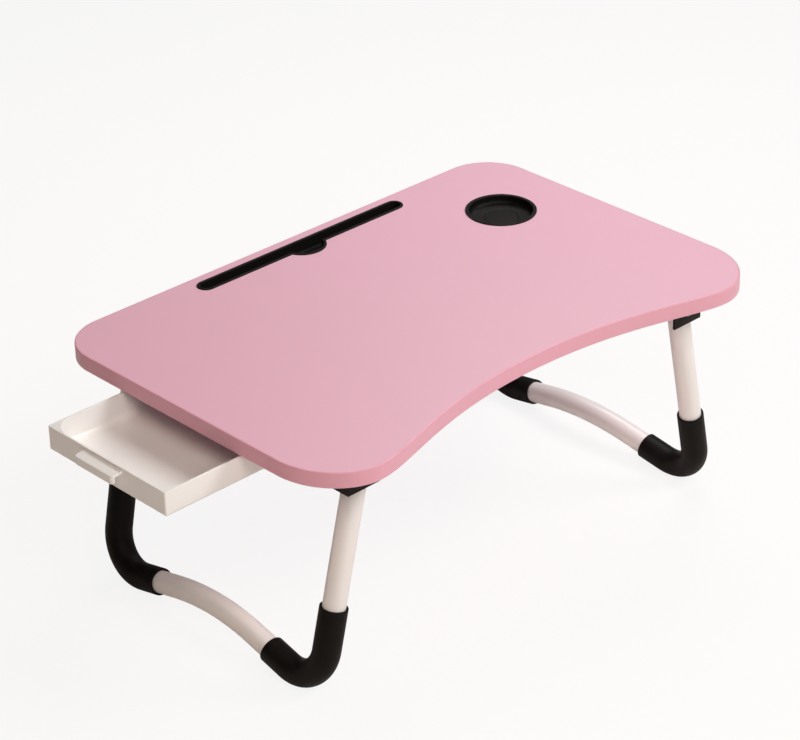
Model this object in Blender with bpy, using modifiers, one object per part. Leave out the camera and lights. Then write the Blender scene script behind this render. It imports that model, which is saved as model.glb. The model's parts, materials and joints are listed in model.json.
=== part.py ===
# Folding laptop bed tray: pink board with a tablet slot and a cup recess, two bent
# tube legs that fold flat under it, and a pull-out drawer at the left end.
# Metres, +Z up. X runs along the board, -Y is the user's side, and the origin is the
# centre of the board's top face. The legs stand open and the drawer is pulled out.

import math

import bmesh
import bpy
from mathutils import Matrix, Vector

# Clearances between pieces
fit_gap = 0.0003            # left between faces that touch on the real tray
cut_overrun = 0.002         # how far a cutter runs past the face it opens
weld_distance = 0.000001
sharpest_mitre = 0.5        # least cosine of the half turn where an outline is inset
smooth_angle = math.radians(35)
joint_overlap = 0.001       # how deep a welded-on shape runs into its neighbour

# Board and its outline
desktop_length = 0.600
desktop_depth = 0.400
desktop_thickness = 0.0165
rear_corner_radius = 0.0527
front_corner_rise = 0.0742   # from the front lobes up to where the straight side ends
front_side_handle = 0.0478   # curve handles of the wavy front
lobe_inset = 0.0612          # from the end of the board to the lowest point of a lobe
lobe_outer_handle = 0.0254
lobe_inner_handle = 0.0423
bay_depth = 0.0428           # how far the middle of the front edge is drawn in
bay_handle = 0.1291
band_thickness = 0.0015
rim_rebate_depth = 0.0006    # the rims of the slot and the cup sit in the board

# Tablet slot with its thumb notch
slot_centre_x = 0.007
slot_rear_margin = 0.022     # board's rear edge to the middle of the slot
slot_length = 0.280
slot_width = 0.020
notch_radius = 0.025
slot_flange_width = 0.0018
slot_flange_height = 0.0009
slot_wall = 0.0014
slot_floor = 0.0015
slot_depth = 0.0140          # top of the board to the outside of the floor

# Cup recess
cup_side_margin = 0.092      # board's right end to the cup's centre
cup_rear_margin = 0.112
cup_flange_radius = 0.038
cup_flange_height = 0.0010
cup_body_radius = 0.0355
cup_wall = 0.0016
cup_floor = 0.0016
cup_recess_depth = 0.0075
cup_dish_radius = 0.0040     # rounding between the recess wall and its floor

# Legs: each is one bent tube in a plane that leans outwards
leg_centre_y = 0.0116        # middle of both legs and of the drawer
hinge_end_margin = 0.0782    # board's end to the hinge axis
hinge_drop = 0.0175          # underside of the board to the hinge axis
leg_splay = math.radians(12.46)
upright_edge_margin = 0.0399 # half the board's depth to an upright at its hinge
upright_foot_inset = 0.0056  # how much nearer the uprights are at their foot
leg_length = 0.2340          # hinge axis to the corner where upright and rail meet
tube_radius = 0.0115
tube_wall = 0.0011
corner_bend_radius = 0.0387
arch_rise = 0.0316           # how high the rail climbs to its middle
arch_bend_radius = 0.290
tube_stub = 0.0072           # tube above the hinge axis

# Foot sleeves
sleeve_radius = 0.0140
sleeve_upright_length = 0.0926
sleeve_rail_length = 0.0733
sole_flat_depth = 0.0006

# End plugs of the tubes
plug_flange_radius = 0.0110
plug_flange_height = 0.0010
plug_stem_length = 0.0033

# Hinge brackets and pins
pin_radius = 0.0030
pin_head_radius = 0.0050
pin_head_height = 0.0012
cheek_gap = 0.0011           # tube side to cheek
cheek_thickness = 0.0025
cheek_inner_reach = 0.0210   # hinge axis to the open end of the bracket
cheek_drop = 0.0127          # hinge axis to the lower edge
stop_thickness = 0.0036
bracket_base_thickness = 0.0022
bracket_flange_width = 0.0105
bracket_screw_inner_x = 0.0140
bracket_screw_outer_x = 0.0100
left_bracket_shift = 0.0065  # how much further out the left brackets sit on their pins

# Screws
screw_shank_radius = 0.0016
screw_head_radius = 0.0032
screw_head_height = 0.0016
screw_length = 0.0105
screw_tip_length = 0.0022
recess_length = 0.0036
recess_width = 0.0009
recess_depth = 0.0009

# Drawer
drawer_travel = 0.0862
drawer_length = 0.195
drawer_height = 0.0265
drawer_rim_drop = 0.0035     # underside of the board to the drawer's rim
drawer_wall = 0.0020
drawer_floor = 0.0020
drawer_corner_radius = 0.0040
drawer_bottom_radius = 0.0035
cavity_corner_radius = 0.0240
cavity_draft = 0.0035        # how much the walls lean in down to the fillet
cavity_fillet = 0.0080
pull_offset_y = 0.0034
pull_width = 0.0557
pull_depth = 0.0120
pull_height = 0.0083
pull_drop = 0.0032           # rim to the top of the finger pull
pull_corner_radius = 0.0036
pull_wall = 0.0018

# Drawer rails
runner_width = 0.0050
runner_thickness = 0.0022
runner_drop = 0.0004         # rim to the top of a runner
rail_side_gap = 0.0006
rail_thickness = 0.0022
rail_flange_width = 0.0120
rail_front_inset = 0.0120    # board's left end to the rail
rail_stop_length = 0.0020
rail_end_lip = 0.0010        # rail beyond its stops
rail_bracket_gap = 0.0292    # screw flange of a rail to the hinge bracket beside it
rail_screw_shares = (0.14, 0.5, 0.86)

# Facets
arc_steps = 8
bend_steps = 8
arch_steps = 6
dish_steps = 4
fillet_steps = 3
tube_resolution = 6
turned_steps = 32
small_turned_steps = 12
screw_steps = 8

# Places that follow from the sizes
half_length = desktop_length / 2
half_depth = desktop_depth / 2
underside_z = -desktop_thickness
hinge_z = underside_z - hinge_drop
hinge_half_span_x = half_length - hinge_end_margin
upright_top_half_span = half_depth - upright_edge_margin
upright_foot_half_span = upright_top_half_span - upright_foot_inset
slot_y = half_depth - slot_rear_margin
cup_centre = (half_length - cup_side_margin, half_depth - cup_rear_margin)
cheek_half_gap = tube_radius + cheek_gap
bracket_half_width = cheek_half_gap + cheek_thickness
stop_face_x = (cheek_drop * math.tan(leg_splay) + tube_radius / math.cos(leg_splay)
               + fit_gap)
bracket_half_span = bracket_half_width + bracket_flange_width
rail_half_span = upright_top_half_span - bracket_half_span - rail_bracket_gap
drawer_half_width = (rail_half_span - rail_flange_width - rail_thickness
                     - rail_side_gap - runner_width)
drawer_rim_z = underside_z - drawer_rim_drop
drawer_front_x = -half_length - drawer_travel
rail_stop_reach = rail_end_lip + rail_stop_length
runner_start = drawer_travel + rail_front_inset + rail_stop_reach + fit_gap

parts = bpy.data.collections.new("laptop_bed_tray")
cutters = bpy.data.collections.new("cutters")


def clear_scene():
    for thing in list(bpy.data.objects):
        bpy.data.objects.remove(thing, do_unlink=True)
    bpy.context.scene.collection.children.link(parts)
    bpy.context.scene.collection.children.link(cutters)


def finish_material(name, colour, roughness, metallic):
    material = bpy.data.materials.new(name)
    material.use_nodes = True
    shader = material.node_tree.nodes["Principled BSDF"]
    shader.inputs["Base Color"].default_value = (*colour, 1.0)
    shader.inputs["Roughness"].default_value = roughness
    shader.inputs["Metallic"].default_value = metallic
    return material


def paint(thing, material):
    thing.data.materials.clear()
    thing.data.materials.append(material)


def smooth(thing):
    thing.data.shade_smooth()
    thing.data.set_sharp_from_angle(angle=smooth_angle)


def add_object(name, mesh, collection=None):
    thing = bpy.data.objects.new(name, mesh)
    (collection or parts).objects.link(thing)
    return thing


def hide_as_cutter(thing):
    for collection in thing.users_collection:
        collection.objects.unlink(thing)
    cutters.objects.link(thing)
    thing.hide_render = True
    thing.display_type = "WIRE"


def bake(thing):
    # Replaces an object by the mesh that its modifiers or its curve make
    graph = bpy.context.evaluated_depsgraph_get()
    mesh = bpy.data.meshes.new_from_object(thing.evaluated_get(graph))
    work = bmesh.new()
    work.from_mesh(mesh)
    bmesh.ops.remove_doubles(work, verts=work.verts, dist=weld_distance)
    work.to_mesh(mesh)
    work.free()
    name = thing.name
    place = thing.matrix_world.copy()
    owner = thing.users_collection[0]
    bpy.data.objects.remove(thing, do_unlink=True)
    fresh = add_object(name, mesh, owner)
    fresh.matrix_world = place
    return fresh


def combine(thing, other, operation):
    step = thing.modifiers.new(operation.lower(), "BOOLEAN")
    step.operation = operation
    step.object = other
    step.solver = "EXACT"
    hide_as_cutter(other)


def cut(thing, other):
    combine(thing, other, "DIFFERENCE")


def join(thing, other):
    combine(thing, other, "UNION")


def box(name, low, high):
    mesh = bpy.data.meshes.new(name)
    work = bmesh.new()
    bmesh.ops.create_cube(work, size=1.0)
    size = [b - a for a, b in zip(low, high)]
    middle = [(a + b) / 2 for a, b in zip(low, high)]
    bmesh.ops.scale(work, vec=size, verts=work.verts)
    bmesh.ops.translate(work, vec=middle, verts=work.verts)
    work.to_mesh(mesh)
    work.free()
    return add_object(name, mesh)


def rods(name, centres, radius, low, high, axis="Z"):
    # Equal cylinders from low to high along one axis, as a single cutter
    turn = {"X": Matrix.Rotation(math.pi / 2, 4, "Y"),
            "Y": Matrix.Rotation(-math.pi / 2, 4, "X"),
            "Z": Matrix.Identity(4)}[axis]
    mesh = bpy.data.meshes.new(name)
    work = bmesh.new()
    for centre in centres:
        middle = Matrix.Translation((0, 0, (low + high) / 2))
        bmesh.ops.create_cone(work, cap_ends=True, segments=small_turned_steps,
                              radius1=radius, radius2=radius, depth=high - low,
                              matrix=Matrix.Translation(centre) @ turn @ middle)
    work.to_mesh(mesh)
    work.free()
    return add_object(name, mesh)


def plate(name, loops, low, high):
    # A flat outline, with any further loops as holes in it
    curve = bpy.data.curves.new(name, "CURVE")
    curve.dimensions = "2D"
    curve.fill_mode = "BOTH"
    curve.extrude = (high - low) / 2
    for loop in loops:
        spline = curve.splines.new("POLY")
        spline.points.add(len(loop) - 1)
        for point, place in zip(spline.points, loop):
            point.co = (place[0], place[1], 0, 1)
        spline.use_cyclic_u = True
    thing = add_object(name, curve)
    thing.location.z = (low + high) / 2
    bpy.context.view_layer.update()
    return bake(thing)


def turned(name, profile, steps, material):
    # Profile runs down the outside and ends on the axis at both ends
    mesh = bpy.data.meshes.new(name)
    points = [(radius, 0, z) for radius, z in profile]
    edges = [(i, i + 1) for i in range(len(points) - 1)]
    mesh.from_pydata(points, edges, [])
    thing = add_object(name, mesh)
    screw = thing.modifiers.new("turn", "SCREW")
    screw.steps = steps
    screw.render_steps = steps
    screw.use_merge_vertices = True
    screw.merge_threshold = weld_distance
    thing = bake(thing)
    paint(thing, material)
    smooth(thing)
    return thing


def loft(name, rings):
    # Closed skin through rings of equal point counts, with flat ends
    mesh = bpy.data.meshes.new(name)
    work = bmesh.new()
    rows = [[work.verts.new(point) for point in ring] for ring in rings]
    count = len(rows[0])
    for lower, upper in zip(rows, rows[1:]):
        for i in range(count):
            j = (i + 1) % count
            work.faces.new((lower[i], lower[j], upper[j], upper[i]))
    work.faces.new(rows[0])
    work.faces.new(rows[-1])
    bmesh.ops.recalc_face_normals(work, faces=work.faces)
    work.to_mesh(mesh)
    work.free()
    return add_object(name, mesh)


def arc(centre, radius, start, end, steps):
    angles = [start + (end - start) * i / steps for i in range(steps + 1)]
    return [(centre[0] + radius * math.cos(a), centre[1] + radius * math.sin(a))
            for a in angles]


def bezier(a, b, c, d, steps):
    # Points of one Bezier piece without its last
    points = []
    for i in range(steps):
        t = i / steps
        shares = ((1 - t) ** 3, 3 * t * (1 - t) ** 2, 3 * t * t * (1 - t), t ** 3)
        points.append(tuple(sum(s * p[k] for s, p in zip(shares, (a, b, c, d)))
                            for k in (0, 1)))
    return points


def inset(loop, distance):
    # Moves a clockwise outline inwards by the same distance all round
    moved = []
    for i, point in enumerate(loop):
        here = Vector(point)
        before = (here - Vector(loop[i - 1])).normalized()
        after = (Vector(loop[(i + 1) % len(loop)]) - here).normalized()
        side = (before + after).normalized()
        normal = Vector((side.y, -side.x))
        stretch = 1 / max(normal.dot(Vector((before.y, -before.x))), sharpest_mitre)
        moved.append(tuple(here + normal * distance * stretch))
    return moved


def rounded_rectangle(low, high, radius, steps=arc_steps):
    corners = (((high[0] - radius, high[1] - radius), 0),
               ((low[0] + radius, high[1] - radius), 1),
               ((low[0] + radius, low[1] + radius), 2),
               ((high[0] - radius, low[1] + radius), 3))
    points = []
    for centre, quarter in corners:
        start = quarter * math.pi / 2
        points += arc(centre, radius, start, start + math.pi / 2, steps)
    return points


def fillet_path(corners, radii, steps):
    # A line through the corners with each inner one rounded to its radius
    path = [Vector(corners[0])]
    for i, (radius, count) in enumerate(zip(radii, steps), start=1):
        here = Vector(corners[i])
        back = (Vector(corners[i - 1]) - here).normalized()
        ahead = (Vector(corners[i + 1]) - here).normalized()
        half = math.acos(max(-1, min(1, back.dot(ahead)))) / 2
        reach = radius / math.tan(half)
        centre = here + (back + ahead).normalized() * (radius / math.sin(half))
        first = here + back * reach - centre
        turn = (math.pi - 2 * half) / count
        sense = 1 if back.x * ahead.y - back.y * ahead.x < 0 else -1
        for k in range(count + 1):
            angle = sense * turn * k
            spun = Vector((first.x * math.cos(angle) - first.y * math.sin(angle),
                           first.x * math.sin(angle) + first.y * math.cos(angle)))
            path.append(centre + spun)
    path.append(Vector(corners[-1]))
    return path


def pipe(name, path, radius, wall, material):
    # An open-ended tube along a flat path
    curve = bpy.data.curves.new(name, "CURVE")
    curve.dimensions = "3D"
    curve.twist_mode = "Z_UP"
    curve.bevel_depth = radius
    curve.bevel_resolution = tube_resolution
    curve.use_fill_caps = False
    spline = curve.splines.new("POLY")
    spline.points.add(len(path) - 1)
    for point, place in zip(spline.points, path):
        point.co = (place[0], place[1], 0, 1)
    thing = bake(add_object(name, curve))
    shell = thing.modifiers.new("wall", "SOLIDIFY")
    shell.thickness = wall
    shell.offset = -1
    shell.use_even_offset = True
    paint(thing, material)
    return thing


def desktop_outline():
    # Right half from the rear to the middle of the front, then its mirror image
    rear = (half_length - rear_corner_radius, half_depth - rear_corner_radius)
    side = (half_length, front_corner_rise - half_depth)
    lobe = (half_length - lobe_inset, -half_depth)
    bay = (0, bay_depth - half_depth)
    right = arc(rear, rear_corner_radius, math.pi / 2, 0, arc_steps + 2)
    right += bezier(side, (side[0], side[1] - front_side_handle),
                    (lobe[0] + lobe_outer_handle, lobe[1]), lobe, arc_steps + 2)
    right += bezier(lobe, (lobe[0] - lobe_inner_handle, lobe[1]),
                    (bay_handle, bay[1]), bay, arc_steps + 4)
    left = [(-x, y) for x, y in reversed(right)]
    return right + [bay] + left


def slot_outline(grow):
    # Round-ended slot whose front edge opens into a shallow round notch
    half_width = slot_width / 2 + grow
    straight = (slot_length - slot_width) / 2
    notch = notch_radius + grow
    chord_angle = math.acos(half_width / notch)
    down = -math.pi / 2
    left_end = arc((-straight, 0), half_width, math.pi / 2, 3 * math.pi / 2, arc_steps)
    mouth = arc((0, 0), notch, down - chord_angle, down + chord_angle, arc_steps)
    right_end = arc((straight, 0), half_width, down, math.pi / 2, arc_steps)
    return [(slot_centre_x + x, slot_y + y) for x, y in left_end + mouth + right_end]


def circle(centre, radius, steps):
    return arc(centre, radius, 0, 2 * math.pi, steps)[:-1]


def at_height(loop, z):
    return [(x, y, z) for x, y in loop]


def bracket_places():
    # Name, pin centre, outward sense and outward shift of the four hinge brackets
    places = []
    for side, sense, shift in (("left", -1, left_bracket_shift), ("right", 1, 0)):
        for end, way in (("front", -1), ("rear", 1)):
            centre = (sense * hinge_half_span_x,
                      leg_centre_y + way * upright_top_half_span, hinge_z)
            places.append((f"{side}_{end}", centre, sense, shift))
    return places


def bracket_screw_offsets(shift):
    across = bracket_half_width + bracket_flange_width / 2
    return [(shift + x, y) for x in (-bracket_screw_inner_x, bracket_screw_outer_x)
            for y in (-across, across)]


def bracket_screw_places():
    places = []
    for _, centre, sense, shift in bracket_places():
        for x, y in bracket_screw_offsets(shift):
            places.append((centre[0] + sense * x, centre[1] + y))
    return places


def rail_span():
    front = rail_front_inset - half_length
    rear = drawer_length - half_length + fit_gap + rail_stop_reach
    return front, rear


def rail_screw_places():
    front, rear = rail_span()
    across = rail_half_span - rail_flange_width / 2
    return [(front + (rear - front) * share, leg_centre_y + way * across)
            for way in (-1, 1) for share in rail_screw_shares]


def make_board(material):
    outer = inset(desktop_outline(), band_thickness + fit_gap)
    slot = slot_outline(fit_gap - slot_flange_width)
    cup = circle(cup_centre, cup_body_radius + fit_gap, turned_steps)
    board = plate("desktop_board", [outer, slot, cup], underside_z, 0)
    for rim in (slot_outline(fit_gap),
                circle(cup_centre, cup_flange_radius + fit_gap, turned_steps)):
        cut(board, loft("rim_rebate", [at_height(rim, -rim_rebate_depth),
                                       at_height(rim, cut_overrun)]))
    pilots = [(x, y, 0) for x, y in bracket_screw_places() + rail_screw_places()]
    grip = screw_length - max(bracket_base_thickness, rail_thickness) + fit_gap
    holes = rods("pilot_holes", pilots, screw_shank_radius + fit_gap,
                 underside_z - cut_overrun, underside_z + grip + fit_gap)
    cut(board, holes)
    paint(board, material)


def make_edge_band(material):
    outline = desktop_outline()
    band = plate("edge_band", [outline, inset(outline, band_thickness)], underside_z, 0)
    paint(band, material)


def make_slot_liner(material):
    body = -slot_flange_width
    cavity = body - slot_wall
    seat = fit_gap - rim_rebate_depth
    top = fit_gap + slot_flange_height
    rings = [at_height(slot_outline(body), -slot_depth),
             at_height(slot_outline(body), seat),
             at_height(slot_outline(0), seat),
             at_height(slot_outline(0), top),
             at_height(slot_outline(cavity), top),
             at_height(slot_outline(cavity), slot_floor - slot_depth)]
    paint(loft("tablet_slot_liner", rings), material)


def make_cup_holder(material):
    seat = fit_gap - rim_rebate_depth
    top = fit_gap + cup_flange_height
    floor = -cup_recess_depth
    inner = cup_body_radius - cup_wall
    dish = arc((inner - cup_dish_radius, floor + cup_dish_radius), cup_dish_radius,
               0, -math.pi / 2, dish_steps)
    profile = [(0, floor)] + dish[::-1]
    profile += [(inner, top), (cup_flange_radius, top), (cup_flange_radius, seat),
                (cup_body_radius, seat), (cup_body_radius, floor - cup_floor),
                (0, floor - cup_floor)]
    holder = turned("cup_holder", profile, turned_steps, material)
    holder.location = (*cup_centre, 0)


def leg_frame(sense):
    # A leg is drawn flat: x along the hinge axis, y down the leg
    across = Vector((0, 1, 0))
    down = Vector((sense * math.sin(leg_splay), 0, -math.cos(leg_splay)))
    frame = Matrix((across, down, across.cross(down))).transposed().to_4x4()
    frame.translation = (sense * hinge_half_span_x, leg_centre_y, hinge_z)
    return frame


def upright_half_span(down):
    return upright_top_half_span - upright_foot_inset * down / leg_length


def leg_corners():
    top = upright_half_span(-tube_stub)
    return [(-top, -tube_stub), (-upright_foot_half_span, leg_length),
            (0, leg_length - arch_rise),
            (upright_foot_half_span, leg_length), (top, -tube_stub)]


def toward(start, goal, distance):
    start = Vector(start)
    return tuple(start + (Vector(goal) - start).normalized() * distance)


def make_leg_tube(name, hinge, material):
    path = fillet_path(leg_corners(),
                       (corner_bend_radius, arch_bend_radius, corner_bend_radius),
                       (bend_steps, arch_steps, bend_steps))
    tube = pipe(name, path, tube_radius, tube_wall, material)
    reach = upright_top_half_span + bracket_half_width
    bore = rods(name + "_pin_bore", [(0, 0, 0)], pin_radius + fit_gap, -reach, reach, "X")
    cut(tube, bore)
    for thing in (bore, tube):
        thing.parent = hinge
    tube = finish_in_place(tube)
    smooth(tube)


def finish_in_place(thing):
    # Bakes an object with its modifiers and keeps it under its parent
    parent = thing.parent
    bpy.context.view_layer.update()
    material = thing.data.materials[0]
    fresh = bake(thing)
    bpy.context.view_layer.update()
    place = fresh.matrix_world.copy()
    fresh.parent = parent
    fresh.matrix_world = place
    paint(fresh, material)
    return fresh


def floor_height():
    # Soles are cut flat here, a little above the lowest line of the sleeves
    path = fillet_path(leg_corners()[:3], (corner_bend_radius,), (bend_steps,))
    reach = max(point.y for point in path)
    return hinge_z - reach * math.cos(leg_splay) - sleeve_radius + sole_flat_depth


def make_sleeve(name, hinge, way, material):
    corners = leg_corners()
    corner = corners[1]
    ends = (toward(corner, corners[0], sleeve_upright_length), corner,
            toward(corner, corners[2], sleeve_rail_length))
    path = fillet_path(ends, (corner_bend_radius,), (bend_steps,))
    path = [(-way * x, y) for x, y in path]
    sleeve = pipe(name, path, sleeve_radius, sleeve_radius - tube_radius - fit_gap,
                  material)
    sleeve.parent = hinge
    bpy.context.view_layer.update()
    floor = floor_height()
    reach = half_length + leg_length
    sole = box(name + "_sole_cut", (-reach, -reach, floor - sleeve_radius),
               (reach, reach, floor))
    cut(sleeve, sole)
    sleeve = finish_in_place(sleeve)
    smooth(sleeve)


def make_plug(name, hinge, way, material):
    bore = tube_radius - tube_wall - fit_gap
    top = fit_gap + plug_flange_height
    profile = [(0, top), (plug_flange_radius, top), (plug_flange_radius, fit_gap),
               (bore, fit_gap), (bore, -plug_stem_length), (0, -plug_stem_length)]
    plug = turned(name, profile, small_turned_steps, material)
    end = Vector((way * upright_half_span(-tube_stub), -tube_stub, 0))
    foot = Vector((way * upright_foot_half_span, leg_length, 0))
    plug.parent = hinge
    plug.location = end
    plug.rotation_mode = "QUATERNION"
    plug.rotation_quaternion = (end - foot).to_track_quat("Z", "Y")


def make_leg(side, sense, steel, plastic):
    hinge = bpy.data.objects.new(side + "_leg_hinge", None)
    parts.objects.link(hinge)
    hinge.matrix_world = leg_frame(sense)
    bpy.context.view_layer.update()
    make_leg_tube(side + "_leg_tube", hinge, steel)
    for end, way in (("front", -1), ("rear", 1)):
        make_sleeve(f"{side}_{end}_foot_sleeve", hinge, way, plastic)
        make_plug(f"{side}_{end}_tube_plug", hinge, way, plastic)


def bracket_mesh(shift, material):
    # Drawn about its pin, with +X outwards
    top = hinge_drop - fit_gap
    low = top - bracket_base_thickness
    inner = shift - cheek_inner_reach
    outer = shift + stop_face_x + stop_thickness
    flange = bracket_half_span
    bracket = box("bracket_shape", (inner, -flange, low), (outer, flange, top))
    for way in (-1, 1):
        near, far = sorted((way * cheek_half_gap, way * bracket_half_width))
        cheek = box("cheek", (inner, near, -cheek_drop), (outer, far, low + joint_overlap))
        join(bracket, cheek)
    stop = box("stop", (stop_face_x, -cheek_half_gap - joint_overlap, -cheek_drop),
               (outer, cheek_half_gap + joint_overlap, low + joint_overlap))
    join(bracket, stop)
    cut(bracket, rods("bracket_pin_bore", [(0, 0, 0)], pin_radius + fit_gap,
                      -flange, flange, "Y"))
    holes = [(x, y, 0) for x, y in bracket_screw_offsets(shift)]
    cut(bracket, rods("bracket_screw_holes", holes, screw_shank_radius + fit_gap,
                      low - cut_overrun, top + cut_overrun))
    bracket = bake(bracket)
    paint(bracket, material)
    mesh = bracket.data
    bpy.data.objects.remove(bracket, do_unlink=True)
    return mesh


def make_brackets(material):
    meshes = {shift: bracket_mesh(shift, material) for shift in (left_bracket_shift, 0)}
    for name, centre, sense, shift in bracket_places():
        bracket = add_object(name + "_hinge_bracket", meshes[shift])
        bracket.location = centre
        bracket.rotation_euler.z = 0 if sense > 0 else math.pi


def make_pins(material):
    reach = bracket_half_width + fit_gap
    end = reach + pin_head_height
    profile = [(0, end), (pin_head_radius, end), (pin_head_radius, reach),
               (pin_radius, reach), (pin_radius, -reach),
               (pin_head_radius, -reach), (pin_head_radius, -end), (0, -end)]
    first = turned("pin_shape", profile, small_turned_steps, material)
    mesh = first.data
    bpy.data.objects.remove(first, do_unlink=True)
    for name, centre, _, _ in bracket_places():
        pin = add_object(name + "_hinge_pin", mesh)
        pin.location = centre
        pin.rotation_euler.x = math.pi / 2


def screw_mesh(material):
    # Head below, tip up, with the underside of the head at z = 0
    length = screw_length
    profile = [(0, length), (screw_shank_radius, length - screw_tip_length),
               (screw_shank_radius, 0), (screw_head_radius, 0),
               (screw_head_radius, -screw_head_height / 2),
               (screw_shank_radius, -screw_head_height), (0, -screw_head_height)]
    screw = turned("screw_shape", profile, screw_steps, material)
    half_span = recess_length / 2
    half_width = recess_width / 2
    low = -screw_head_height - cut_overrun
    high = recess_depth - screw_head_height
    cross = box("recess_one", (-half_span, -half_width, low), (half_span, half_width, high))
    join(cross, box("recess_two", (-half_width, -half_span, low),
                    (half_width, half_span, high)))
    cut(screw, cross)
    screw = bake(screw)
    paint(screw, material)
    mesh = screw.data
    bpy.data.objects.remove(screw, do_unlink=True)
    return mesh


def make_screws(material):
    mesh = screw_mesh(material)
    bracket_z = underside_z - fit_gap - bracket_base_thickness - fit_gap
    rail_z = underside_z - fit_gap - rail_thickness - fit_gap
    for i, (x, y) in enumerate(bracket_screw_places(), start=1):
        screw = add_object(f"bracket_screw_{i:02d}", mesh)
        screw.location = (x, y, bracket_z)
    for i, (x, y) in enumerate(rail_screw_places(), start=1):
        screw = add_object(f"rail_screw_{i}", mesh)
        screw.location = (x, y, rail_z)


def drawer_ring(margin, radius, z):
    low = (margin, margin - drawer_half_width)
    high = (drawer_length - margin, drawer_half_width - margin)
    return at_height(rounded_rectangle(low, high, radius), z)


def drawer_rings():
    # Up the outside, over the rim, down the drafted cavity and across its floor
    rings = []
    steps = fillet_steps
    smallest = drawer_corner_radius - drawer_bottom_radius
    for i in range(steps + 1):
        angle = math.pi / 2 * i / steps
        margin = drawer_bottom_radius * (1 - math.sin(angle))
        rise = drawer_bottom_radius * (1 - math.cos(angle))
        radius = max(drawer_corner_radius - margin, smallest)
        rings.append(drawer_ring(margin, radius, rise - drawer_height))
    rings.append(drawer_ring(0, drawer_corner_radius, 0))
    rings.append(drawer_ring(drawer_wall, cavity_corner_radius, 0))
    floor = drawer_floor - drawer_height
    wall = drawer_wall + cavity_draft
    for i in range(steps + 1):
        angle = math.pi / 2 * i / steps
        margin = wall + cavity_fillet * (1 - math.cos(angle))
        rise = cavity_fillet * (1 - math.sin(angle))
        radius = cavity_corner_radius - (margin - drawer_wall)
        rings.append(drawer_ring(margin, radius, floor + rise))
    return rings


def pull_block():
    # Finger pull: a ledge whose lip turns down along its front and round its corners
    half = pull_width / 2
    outer = rounded_rectangle((-pull_depth, pull_offset_y - half),
                              (pull_depth, pull_offset_y + half), pull_corner_radius)
    hollow = rounded_rectangle((pull_wall - pull_depth, pull_offset_y + pull_wall - half),
                               (pull_depth, pull_offset_y + half - pull_wall),
                               pull_corner_radius - pull_wall)
    top = -pull_drop
    low = top - pull_height - cut_overrun
    block = plate("pull_block", [outer[::-1]], top - pull_height, top)
    cavity = plate("pull_cavity", [hollow[::-1]], low, top - pull_wall)
    cut(block, cavity)
    ends = box("pull_ends", (pull_corner_radius - pull_depth, -pull_width, low),
               (pull_depth + cut_overrun, pull_width, top - pull_wall))
    cut(block, ends)
    trim = box("pull_trim", (joint_overlap, -pull_width, -drawer_height),
               (pull_depth + cut_overrun, pull_width, drawer_height))
    cut(block, trim)
    return bake(block)


def make_drawer(material):
    drawer = loft("drawer", drawer_rings())
    join(drawer, pull_block())
    for way in (-1, 1):
        near, far = sorted((way * (drawer_half_width - joint_overlap),
                            way * (drawer_half_width + runner_width)))
        join(drawer, box("runner", (runner_start, near, -runner_drop - runner_thickness),
                         (drawer_length, far, -runner_drop)))
    drawer = bake(drawer)
    paint(drawer, material)
    smooth(drawer)
    drawer.location = (drawer_front_x, leg_centre_y, drawer_rim_z)


def rail_section():
    # Across the rail from the drawer outwards, as (y, z): a channel with a screw flange
    inner = drawer_half_width + rail_side_gap
    channel = inner + runner_width
    web = channel + rail_thickness
    top = underside_z - fit_gap
    plate_low = top - rail_thickness
    lip_top = drawer_rim_z - runner_drop - runner_thickness - fit_gap
    lip_low = lip_top - rail_thickness
    section = [(inner, top), (rail_half_span, top), (rail_half_span, plate_low),
               (web, plate_low),
               (web, lip_low), (inner, lip_low), (inner, lip_top), (channel, lip_top),
               (channel, plate_low), (inner, plate_low)]
    return section, (inner, web, lip_low, plate_low, top)


def make_rail(name, way, material):
    section, (inner, web, lip_low, plate_low, top) = rail_section()
    front, rear = rail_span()
    ends = [[(x, way * y, z) for y, z in section] for x in (front, rear)]
    rail = loft(name, ends)
    near, far = sorted((way * inner, way * (web - joint_overlap)))
    for start in (front + rail_end_lip, rear - rail_stop_reach):
        join(rail, box("rail_stop", (start, near, lip_low + joint_overlap),
                       (start + rail_stop_length, far, top - joint_overlap)))
    screws = [(x, y - leg_centre_y, 0) for x, y in rail_screw_places()]
    cut(rail, rods(name + "_screw_holes", screws, screw_shank_radius + fit_gap,
                   plate_low - cut_overrun, top + cut_overrun))
    rail = bake(rail)
    paint(rail, material)
    rail.location.y = leg_centre_y


clear_scene()
board_pink = finish_material("board_laminate", (0.78, 0.42, 0.50), 0.45, 0.0)
band_pink = finish_material("edge_banding", (0.74, 0.38, 0.46), 0.40, 0.0)
black_plastic = finish_material("black_plastic", (0.012, 0.011, 0.010), 0.45, 0.0)
white_steel = finish_material("white_powder_coat", (0.82, 0.79, 0.76), 0.35, 0.0)
white_plastic = finish_material("white_plastic", (0.84, 0.82, 0.79), 0.40, 0.0)
black_steel = finish_material("black_steel", (0.05, 0.05, 0.05), 0.40, 1.0)
zinc_steel = finish_material("zinc_steel", (0.62, 0.62, 0.60), 0.35, 1.0)

make_board(board_pink)
make_edge_band(band_pink)
make_slot_liner(black_plastic)
make_cup_holder(black_plastic)
make_leg("left", -1, white_steel, black_plastic)
make_leg("right", 1, white_steel, black_plastic)
make_brackets(black_plastic)
make_pins(black_steel)
make_drawer(white_plastic)
make_rail("drawer_rail_front", -1, white_plastic)
make_rail("drawer_rail_rear", 1, white_plastic)
make_screws(zinc_steel)
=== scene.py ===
# Folding laptop bed tray: the shape and finish of everything that shows, on its packed
# solids. Metres, +Z up; the origin is the middle of the board's top face.
import json
import math

import bmesh
import bpy
from mathutils import Matrix, Vector


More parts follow.
